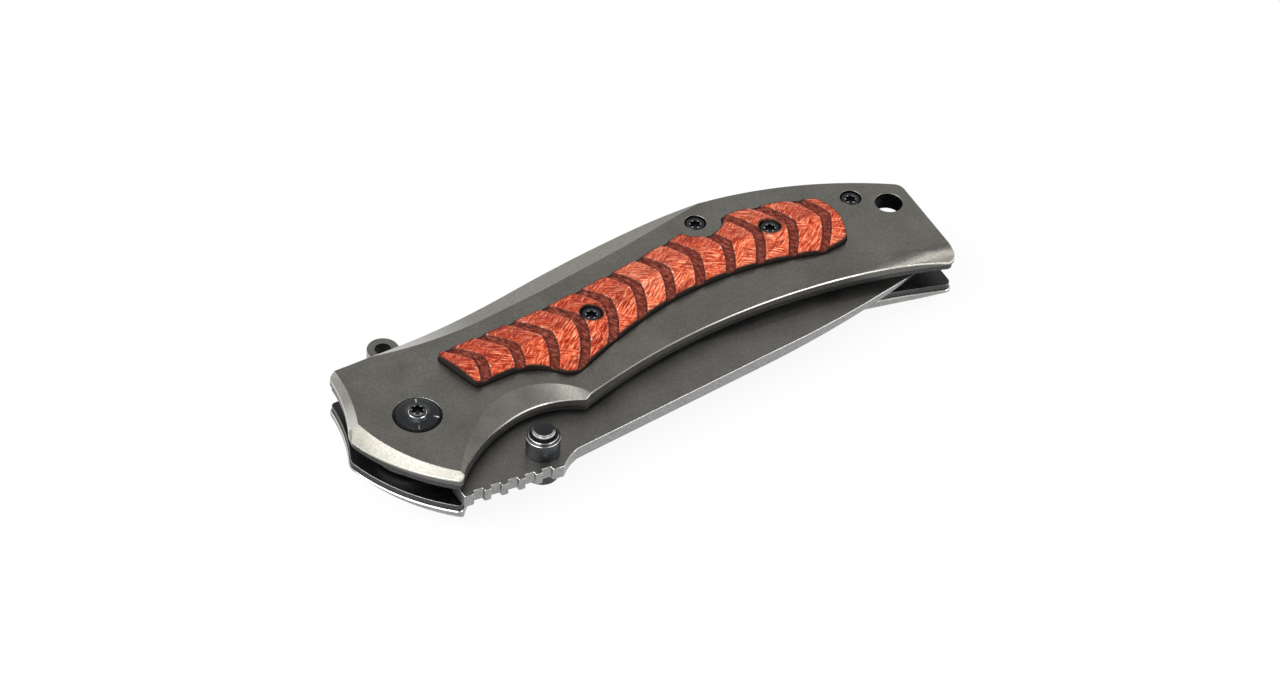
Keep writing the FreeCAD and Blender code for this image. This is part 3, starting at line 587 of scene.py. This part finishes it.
def round_thumb_notches(shell):
    """Round the upright corners of the notches under the thumb."""
    corners = [edge for edge in shell.edges if edge.calc_face_angle(0.0) > CORNER_ANGLE
               and all(is_wall(face) for face in edge.link_faces)
               and all(in_thumb_notches(vert.co) for vert in edge.verts)]
    bmesh.ops.bevel(shell, geom=corners, offset=THUMB_NOTCH_ROUND, offset_type="OFFSET",
                    segments=THUMB_NOTCH_STEPS, profile=ROUND_PROFILE, affect="EDGES", clamp_overlap=True)


def roll_depth(point):
    """How far a point lies past the line where the belly edge begins to roll over, towards the butt."""
    if point.x < ROLL_START.x or point.y > 0:
        return 0.0
    return max((point - ROLL_START).dot(ROLL_OUTWARD), 0.0)


def roll_edge(shell, side):
    """Roll the belly edge over, wider and wider towards the butt."""
    for step in ROLL_STEPS:
        faces = [face for face in shell.faces if face.normal.z * side > FACING_SHARE
                 and any(roll_depth(vert.co) > step for vert in face.verts)]
        parts = {part for face in faces for part in (*face.verts, *face.edges)}
        bmesh.ops.bisect_plane(shell, geom=faces + list(parts), dist=WELD_DISTANCE, plane_no=ROLL_OUTWARD,
                               plane_co=ROLL_START + ROLL_OUTWARD * step)
    rolled = {vert for face in shell.faces if face.normal.z * side > FACING_SHARE for vert in face.verts}
    for vert in rolled:
        vert.co.z -= side * ROLL_BEND * roll_depth(vert.co) ** 2
    shell.normal_update()


def crease_limit(edge):
    """Facets that look up or down crease at once; broken edges, walls and the roll only at a corner."""
    broken = any(face.material_index == EDGE for face in edge.link_faces)
    walls = any(is_wall(face) for face in edge.link_faces)
    rolled = all(roll_depth(face.calc_center_median()) > 0 for face in edge.link_faces)
    return CORNER_ANGLE if broken or walls or rolled else CREASE_ANGLE


def dressed_piece(node, edge_break, wall, edge=WORN_EDGE):
    """The node's solid with crisp creases, its bores in painted shade, its outer corners broken and worn.
    """
    shell = cleaned(node)
    if node in ROLLED:
        roll_edge(shell, ROLLED[node])
    if node == "blade":
        round_thumb_notches(shell)
    outside = outer_wall(shell)
    for face in shell.faces:
        # inner walls of holes, seats and pockets take painted shade
        face.material_index = WALL if face in outside else SHADE if is_wall(face) else FACE
    outer_corners = [corner for corner in corner_edges(shell) if outside & set(corner.link_faces)]
    break_edges(shell, outer_corners, edge_break)
    if SLOT_OF[node] == "satin_grey":
        break_edges(shell, corner_edges(shell), INNER_BREAK, FACE)
    for line in shell.edges:
        line.smooth = line.calc_face_angle(0.0) < crease_limit(line)
    name = node + "_dressed"
    piece = new_piece(name, finished(shell, name), node, edge, wall, PAINTED_SHADE)
    weighted = piece.modifiers.new("flat_faces", "WEIGHTED_NORMAL")
    weighted.keep_sharp = True
    weighted.weight = FLAT_FACE_WEIGHT
    return piece


def islands(node):
    """Lowest and highest corner of each separate solid of a node."""
    shell = welded(node)
    left = set(shell.verts)
    boxes = []
    while left:
        todo = [left.pop()]
        points = []
        while todo:
            vert = todo.pop()
            points.append(vert.co.copy())
            for edge in vert.link_edges:
                other = edge.other_vert(vert)
                if other in left:
                    left.remove(other)
                    todo.append(other)
        boxes.append((Vector(map(min, *points)), Vector(map(max, *points))))
    shell.free()
    return sorted(boxes, key=lambda box: box[0].x)


def turn(shell, centre, rings, side=1, notches=()):
    """Closed turned form from rings, from one end to the other, with marks cut at some angles."""
    step = 2 * math.pi / TURN_SEGMENTS
    marked = {round(angle / step) % TURN_SEGMENTS for angle in notches}
    loops = []
    for ring in rings:
        loop = []
        for index in range(TURN_SEGMENTS):
            angle = step * index
            reach = ring.radius * (1 + ring.lobes * math.cos(SOCKET_LOBES * angle))
            drop = side * NOTCH_DEPTH if ring.notched and index in marked else 0.0
            loop.append(shell.verts.new((centre.x + reach * math.cos(angle),
                                         centre.y + reach * math.sin(angle), ring.level - drop)))
        loops.append(loop)
    faces = [shell.faces.new(list(reversed(loops[0]))), shell.faces.new(loops[-1])]
    for lower, upper, before, ring in zip(loops, loops[1:], rings, rings[1:]):
        for index in range(TURN_SEGMENTS):
            after = (index + 1) % TURN_SEGMENTS
            # faces on the lobe crests of a socket's first lobed band take painted glints
            crest = math.cos(SOCKET_LOBES * step * (index + 0.5)) < GLINT_CREST
            glint = ring.lobes > before.lobes and crest
            mark = ring.notched and index in marked
            face = shell.faces.new((lower[index], lower[after], upper[after], upper[index]))
            face.material_index = BRIGHT if glint or mark else ring.finish
            faces.append(face)
    if side < 0:
        bmesh.ops.reverse_faces(shell, faces=faces)


def turned_piece(node, rings_of, side, notches=()):
    """One turned form for each solid of the node; side says which way they face."""
    shell = bmesh.new()
    for low, high in islands(node):
        top, foot = (high.z, low.z) if side > 0 else (low.z, high.z)
        turn(shell, (low + high) / 2, rings_of((high.x - low.x) / 2, top, foot, side), side, notches)
    name = node + "_turned"
    piece = new_piece(name, finished(shell, name), node, BRIGHT_RIM, PAINTED_SHADE)
    piece.data.set_sharp_from_angle(angle=TURN_CREASE)
    return piece


def stepped(radius, level, steps):
    """Rings at an inset from a radius and a height over a level."""
    return [Ring(radius - inset, level + height, finish) for inset, height, finish in steps]


def screw_rings(radius, top, foot, side):
    """Flat head with a broken rim and a star socket; its side and socket are in painted shade, with painted
    glints on the socket's lobe crests.
    """
    socket = radius * SOCKET_SHARE
    return [Ring(radius, foot, SHADED_BAND),
            Ring(radius, top - side * RIM_CHAMFER, SHADED_BAND),
            Ring(radius - RIM_CHAMFER, top, OXIDE),
            Ring(socket * SOCKET_LIP_SHARE, top, OXIDE),
            Ring(socket, top - side * RIM_CHAMFER / 2, OXIDE, SOCKET_LOBE_SHARE),
            Ring(socket * SOCKET_DRAFT_SHARE, top - side * SOCKET_DEPTH, SHADED_BAND, SOCKET_LOBE_SHARE),
            Ring(socket * SOCKET_FLOOR_SHARE, top - side * SOCKET_DEPTH * SOCKET_CONE_SHARE, SHADED_BAND)]


def collar_rings(radius, top, foot, side):
    """Disc with a rim in painted shade and fine marks, its top sweeping up to the hub."""
    low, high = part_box("pivot_screw")
    inner = (high.x - low.x) / 2
    rim = top - COLLAR_RIM_DROP
    edge = [Ring(radius - inset, rim + height, finish, notched=notched)
            for inset, height, finish, notched in COLLAR_RIM]
    sweep = [Ring(inner + reach, rim + height, OXIDE) for reach, height in COLLAR_SWEEP]
    return [Ring(radius, foot, SHADED_BAND), *edge, *sweep, Ring(inner, top, OXIDE)]


def hub_rings(radius, top, foot, side):
    """Button with a flared foot, a broken rim and a star socket in painted shade, with painted glints on
    the socket's lobe crests.
    """
    crown = radius - HUB_INSET
    crest = top + HUB_LIFT
    socket = crown * HUB_SOCKET_SHARE
    return [Ring(radius, foot, OXIDE),
            *stepped(crown, foot, HUB_FOOT),
            *stepped(crown, crest, HUB_CREST),
            Ring(socket * HUB_LIP_SHARE, crest, OXIDE),
            Ring(socket, crest - HUB_SOCKET_CHAMFER, OXIDE, SOCKET_LOBE_SHARE),
            Ring(socket * SOCKET_DRAFT_SHARE, crest - SOCKET_DEPTH, SHADED_BAND, SOCKET_LOBE_SHARE),
            Ring(socket * SOCKET_FLOOR_SHARE, crest - SOCKET_DEPTH, SHADED_BAND)]


def stud_rings(radius, top, foot, side):
    """Thumb stud: body with a sloping shoulder, a neck line and a cap with a broken rim; the neck and the
    underside of the cap are in painted shade.
    """
    neck = [Ring(reach, foot + height, finish) for reach, height, finish in STUD_NECK]
    return [*stepped(radius, foot, STUD_BODY), *neck,
            *stepped(STUD_CAP_RADIUS, foot, STUD_CAP),
            Ring(STUD_CAP_RADIUS - STUD_CROWN_INSET, top - STUD_CROWN_DROP, BRIGHT),
            Ring(STUD_FLAT_RADIUS, top, OXIDE)]


def plain_stud_rings(radius, top, foot, side):
    """Thumb stud without a cap, its rim broken."""
    rim = [Ring(radius - inset, top - side * drop, finish) for inset, drop, finish in PLAIN_STUD_RIM]
    return [Ring(radius, foot, OXIDE), *rim]


def smooth_step(values, low, high):
    """Nought below low, one above high and a smooth rise between."""
    share = np.clip((values - low) / (high - low), 0.0, 1.0)
    return share * share * (3.0 - 2.0 * share)


def bell(values, reach):
    """One where the values are nought, fading on both sides within a reach."""
    return np.exp(-(values / reach) ** 2)


def voxel_mesh(node):
    """The node's solid in a fine even mesh, its edges softened."""
    work = bpy.data.objects.new(node + "_work", finished(cleaned(node), node + "_work"))
    bpy.context.scene.collection.objects.link(work)
    remesh = work.modifiers.new("fine_mesh", "REMESH")
    remesh.mode = "VOXEL"
    remesh.voxel_size = WOOD_VOXEL
    bpy.context.view_layer.update()
    mesh = bpy.data.meshes.new_from_object(work.evaluated_get(bpy.context.evaluated_depsgraph_get()))
    bpy.data.objects.remove(work)
    return mesh


def solid_grooves(points):
    """How far points lie inside the grooves of the solid, negative on its lands."""
    starts = np.linspace(SOLID_GROOVE_FIRST, SOLID_GROOVE_LAST, GROOVE_COUNT)
    rise = points[:, 1, None] - np.interp(starts, RIDGE_X, RIDGE_Y)[None, :]
    lean = np.where(rise > 0, SOLID_UPPER_LEAN, SOLID_LOWER_LEAN)
    offset = points[:, 0, None] + lean * np.abs(rise) - starts[None, :] - GROOVE_WIDTH / 2
    return GROOVE_WIDTH / 2 - np.abs(offset).min(axis=1)


def groove_offsets(points):
    """Distance along the handle from the middle of each bent groove, between a chevron and a plain arc."""
    share = np.linspace(0.0, 1.0, GROOVE_COUNT)
    bends = BEND_FIRST + (BEND_LAST - BEND_FIRST) * share
    upper = np.interp(share, (0, 1), BEND_UPPER_LEANS)
    lower = np.interp(share ** BEND_LOWER_GROWTH, (0, 1), BEND_LOWER_LEANS)
    rise = points[:, 1, None] - np.interp(bends, RIDGE_X, RIDGE_Y) - BEND_RISE
    chevron = -np.where(rise > 0, upper, lower) * np.abs(rise)
    arc = (lower - upper) / 2 * rise - (lower + upper) / 2 * rise ** 2 / BEND_ARC_REACH
    return points[:, 0, None] - bends - (chevron + arc) / 2


def spread_level(level, fixed):
    """Carry the level of the fixed cells of a grid across the open ones."""
    filled = fixed.astype(float)
    for _ in range(LAND_SPREADS):
        weight = np.zeros(level.shape)
        spread = np.zeros(level.shape)
        for step, axis in ((1, 0), (-1, 0), (1, 1), (-1, 1)):
            weight += np.roll(filled, step, axis)
            spread += np.roll(level * filled, step, axis)
        level = np.where(fixed | (weight == 0), level, spread / np.maximum(weight, 1.0))
        filled = np.maximum(filled, weight > 0)
    return level


def land_height(points, height, known):
    """Height of the wood as if it had no grooves, spread across them from the known lands."""
    place = (points[:, :2] - points[:, :2].min(axis=0)) / LAND_CELL + LAND_BORDER
    cells = tuple(np.rint(place[known]).astype(int).T)
    shape = tuple(np.ceil(place.max(axis=0)).astype(int) + LAND_BORDER + 1)
    total = np.zeros(shape)
    number = np.zeros(shape)
    np.add.at(total, cells, height[known])
    np.add.at(number, cells, 1.0)
    level = spread_level(total / np.maximum(number, 1.0), number > 0)
    corner = np.floor(place).astype(int)
    share = place - corner
    land = np.zeros(len(points))
    for x in (0, 1):
        for y in (0, 1):
            part = np.abs(1 - x - share[:, 0]) * np.abs(1 - y - share[:, 1])
            land += part * level[corner[:, 0] + x, corner[:, 1] + y]
    return land


def mesh_points(mesh):
    """Places of a mesh's corners, one to a row."""
    points = np.empty(len(mesh.vertices) * 3)
    mesh.vertices.foreach_get("co", points)
    return points.reshape(-1, 3)


def clear_of_screws(node, points):
    """Which points lie outside the counterbores of the inlay's screws."""
    screws = [(low + high) / 2 for low, high in islands(node + "_screws")]
    gaps = [np.hypot(points[:, 0] - screw.x, points[:, 1] - screw.y) for screw in screws]
    return np.min(gaps, axis=0) > SCREW_REACH


def inset_from(sides, points):
    """Distance of each point, seen from above, from the nearest of the points at the sides."""
    tree = KDTree(len(sides))
    for index in sides:
        tree.insert((*points[index, :2], 0.0), int(index))
    tree.balance()
    return np.array([tree.find((*point, 0.0))[2] for point in points[:, :2]])


def mark_points(mesh, name, values):
    """Keep a number at each corner of a mesh for its material."""
    mesh.attributes.new(name, "FLOAT", "POINT").data.foreach_set("value", values)


def wood_piece(node, side):
    """The inlay as carved wood, with marks of where it is cut and of where its painted highlight and shade
    go.
    """
    mesh = voxel_mesh(node)
    points = mesh_points(mesh)
    upward = np.array([vert.normal.z for vert in mesh.vertices]) * side
    height = points[:, 2] * side
    clear = clear_of_screws(node, points)

    solid = solid_grooves(points)
    land = land_height(points, height, (upward > LAND_FACING) & (solid < -LAND_MARGIN) & clear)
    sides = np.flatnonzero((np.abs(upward) < SIDE_FACING) & (height < land - RIM_DEPTH))
    inset = inset_from(sides, points)
    flank = (1.0 - smooth_step(upward, SIDE_FACING, FLANK_FACING)) * (inset < RIM_REACH)
    wall = np.where(upward < -SIDE_FACING, 1.0, flank)
    top = smooth_step(upward, 0.0, CUT_FACING) * clear
    refill = smooth_step(solid, -LAND_MARGIN, -LAND_MARGIN / 2) * top * (1.0 - wall)
    height += refill * (land - height)

    offset = groove_offsets(points)
    nearest = np.abs(offset).argmin(axis=1)
    offset = offset[np.arange(len(points)), nearest]
    inside = GROOVE_WIDTH / 2 - np.abs(offset)
    groove = smooth_step(inside, -GROOVE_SOFTNESS, GROOVE_SOFTNESS)
    crown = 1.0 - np.exp(-np.clip(-inside, 0.0, None) / CROWN_REACH)
    height += (1.0 - wall) * (CROWN_RISE * crown - GROOVE_DEPTH * groove * top)
    rim = (upward > -SIDE_FACING) & (inset < RIM_REACH) & clear
    height = np.where(rim, np.minimum(height, land + CROWN_RISE - GROOVE_DEPTH * groove), height)
    points[:, 2] = height * side
    mesh.vertices.foreach_set("co", points.ravel())

    stain = smooth_step(inside + STAIN_REACH, -GROOVE_SOFTNESS / 2, GROOVE_SOFTNESS / 2)
    # lip: where the painted highlight along the grooves goes
    lip = bell(inside + LIP_OFFSET, LIP_WIDTH)
    # painted shade along the wood's top edge, by its sides
    edge_shade = bell(inset, EDGE_SHADE_REACH)
    tone = np.array(LAND_TONES)[nearest + (offset > 0)]
    marks = np.stack([stain, lip, np.maximum(wall, edge_shade), tone], axis=1)
    mesh.attributes.new("carve", "FLOAT_COLOR", "POINT").data.foreach_set("color", marks.ravel())
    mark_points(mesh, "burn", bell(inside + BURN_OFFSET, LIP_WIDTH))
    # where the painted shade on the upper slopes goes
    above_ridge = points[:, 1] - np.interp(points[:, 0], RIDGE_X, RIDGE_Y)
    mark_points(mesh, "slope_shade", np.clip(above_ridge / SLOPE_REACH, -1.0, 1.0))
    for polygon in mesh.polygons:
        polygon.use_smooth = True
    return new_piece(node + "_carved", mesh, node)


def add_floor():
    """Wide floor just under the knife."""
    low, high = CAD_BOX
    shell = bmesh.new()
    bmesh.ops.create_grid(shell, x_segments=FLOOR_CELLS, y_segments=FLOOR_CELLS, size=FLOOR_SIZE / 2)
    mesh = finished(shell, "floor")
    mesh.materials.append(floor_paper())
    floor = bpy.data.objects.new("floor", mesh)
    middle = (low + high) / 2
    floor.location = (middle.x, middle.y, low.z - FLOOR_GAP)
    bpy.context.scene.collection.objects.link(floor)


def add_lamps():
    """Soft boxes round the knife, all at one distance and facing it."""
    for name, lamp in LAMPS.items():
        light = bpy.data.lights.new(name, "AREA")
        light.shape = "RECTANGLE"
        light.size, light.size_y = lamp["size"]
        light.energy = lamp["level"] * math.pi * light.size * light.size_y
        item = bpy.data.objects.new(name, light)
        towards = Vector(lamp["towards"]).normalized()
        item.location = CAMERA_AIM + towards * LAMP_DISTANCE
        item.rotation_euler = towards.to_track_quat("Z", "Y").to_euler()
        bpy.context.scene.collection.objects.link(item)


def add_world():
    """Pale horizon under a dimmer ceiling."""
    world = bpy.data.worlds.new("studio")
    bpy.context.scene.world = world
    world.use_nodes = True
    tree = world.node_tree
    coords = tree.nodes.new("ShaderNodeTexCoord")
    split = tree.nodes.new("ShaderNodeSeparateXYZ")
    fade = tree.nodes.new("ShaderNodeMapRange")
    fade.interpolation_type = "SMOOTHSTEP"
    fade.inputs["From Min"].default_value = HORIZON_TOP
    fade.inputs["From Max"].default_value = CEILING_START
    fade.inputs["To Min"].default_value = HORIZON_LEVEL
    fade.inputs["To Max"].default_value = CEILING_LEVEL
    tree.links.new(coords.outputs["Generated"], split.inputs[0])
    tree.links.new(split.outputs["Z"], fade.inputs["Value"])
    tree.links.new(fade.outputs["Result"], tree.nodes["Background"].inputs["Strength"])
    tree.nodes["Background"].inputs["Color"].default_value = (1, 1, 1, 1)


def add_camera():
    """The photograph's view: pitched down, turned from the handle's axis and slightly rolled."""
    forward = Vector((0, math.cos(CAMERA_PITCH), -math.sin(CAMERA_PITCH)))
    right = Vector((1, 0, 0))
    down = forward.cross(right)
    rolled_right = right * math.cos(CAMERA_ROLL) + down * math.sin(CAMERA_ROLL)
    rolled_down = down * math.cos(CAMERA_ROLL) - right * math.sin(CAMERA_ROLL)
    heading = Matrix.Rotation(-CAMERA_HEADING, 3, "Z")
    columns = [heading @ rolled_right, heading @ -rolled_down, heading @ -forward]
    data = bpy.data.cameras.new("photo_camera")
    data.sensor_width = SENSOR_WIDTH_MM
    data.lens = SENSOR_WIDTH_MM * PHOTO_FOCAL_PX / PHOTO_WIDTH_PX
    camera = bpy.data.objects.new("photo_camera", data)
    place = Matrix.Translation(CAMERA_AIM + columns[2] * CAMERA_DISTANCE)
    camera.matrix_world = place @ Matrix(columns).transposed().to_4x4()
    bpy.context.scene.collection.objects.link(camera)
    bpy.context.scene.camera = camera


# The front scale's outer walls take painted shade
dressed_piece("front_scale", SCALE_BREAK, SHADED_SCALE_WALL, SCALE_EDGE)
# The outer walls of the rear scale, the blade and the clip are lighter with painted light
dressed_piece("rear_scale", SCALE_BREAK, GROUND_AND_LIT_WALL)
for plate in ("blade", "pocket_clip"):
    dressed_piece(plate, PLATE_BREAK, GROUND_AND_LIT_WALL)
for plate in ("front_liner", "rear_liner", "lock_bar"):
    dressed_piece(plate, PLATE_BREAK, MATERIALS["liner_steel"], LINER_EDGE)
for wood, facing in (("front_inlay", 1), ("rear_inlay", -1)):
    wood_piece(wood, facing)
for screws in ("front_inlay_screws", "front_body_screws"):
    turned_piece(screws, screw_rings, 1)
for screws in ("rear_inlay_screws", "rear_body_screws", "rear_pivot_screw", "clip_screws"):
    turned_piece(screws, screw_rings, -1)
turned_piece("pivot_collar", collar_rings, 1, NOTCH_ANGLES)
turned_piece("pivot_screw", hub_rings, 1)
turned_piece("front_thumb_stud", stud_rings, 1)
turned_piece("rear_thumb_stud", plain_stud_rings, -1)
for plain in ("detent_ball", "standoffs", "stop_pin", "pivot_barrel", "front_washer", "rear_washer"):
    NODES[plain].data.materials.clear()
    NODES[plain].data.materials.append(MATERIALS[SLOT_OF[plain]])

add_floor()
add_lamps()
add_world()
add_camera()
bpy.context.scene.view_settings.view_transform = "Standard"
